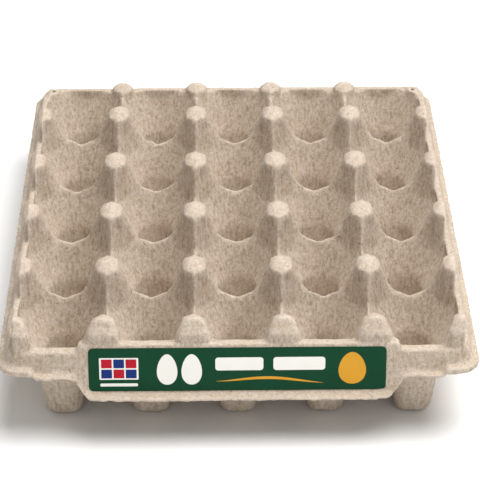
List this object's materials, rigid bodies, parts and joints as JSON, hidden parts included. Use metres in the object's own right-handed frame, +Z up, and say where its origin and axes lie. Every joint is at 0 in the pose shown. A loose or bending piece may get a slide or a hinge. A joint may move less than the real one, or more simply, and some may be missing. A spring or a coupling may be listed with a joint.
{
  "type": "pulp egg tray",
  "caption": "Open moulded-pulp tray with a grid of egg cups between pointed posts, a flanged rim and a labelled apron on its front side.",
  "frame": {"origin": "on the floor, under the middle of the cell grid, at the underside of the centre cup's foot", "axes": "+X along the labelled front, to the right as seen by someone facing it; +Y from the front to the back; +Z up"},
  "size_m": [0.2526, 0.3047, 0.07],
  "materials": {
    "pulp": "matte",
    "label_paper": "satin"
  },
  "bodies": {
    "root": {"tray": "pulp", "label": "label_paper"}
  },
  "joints": []
}
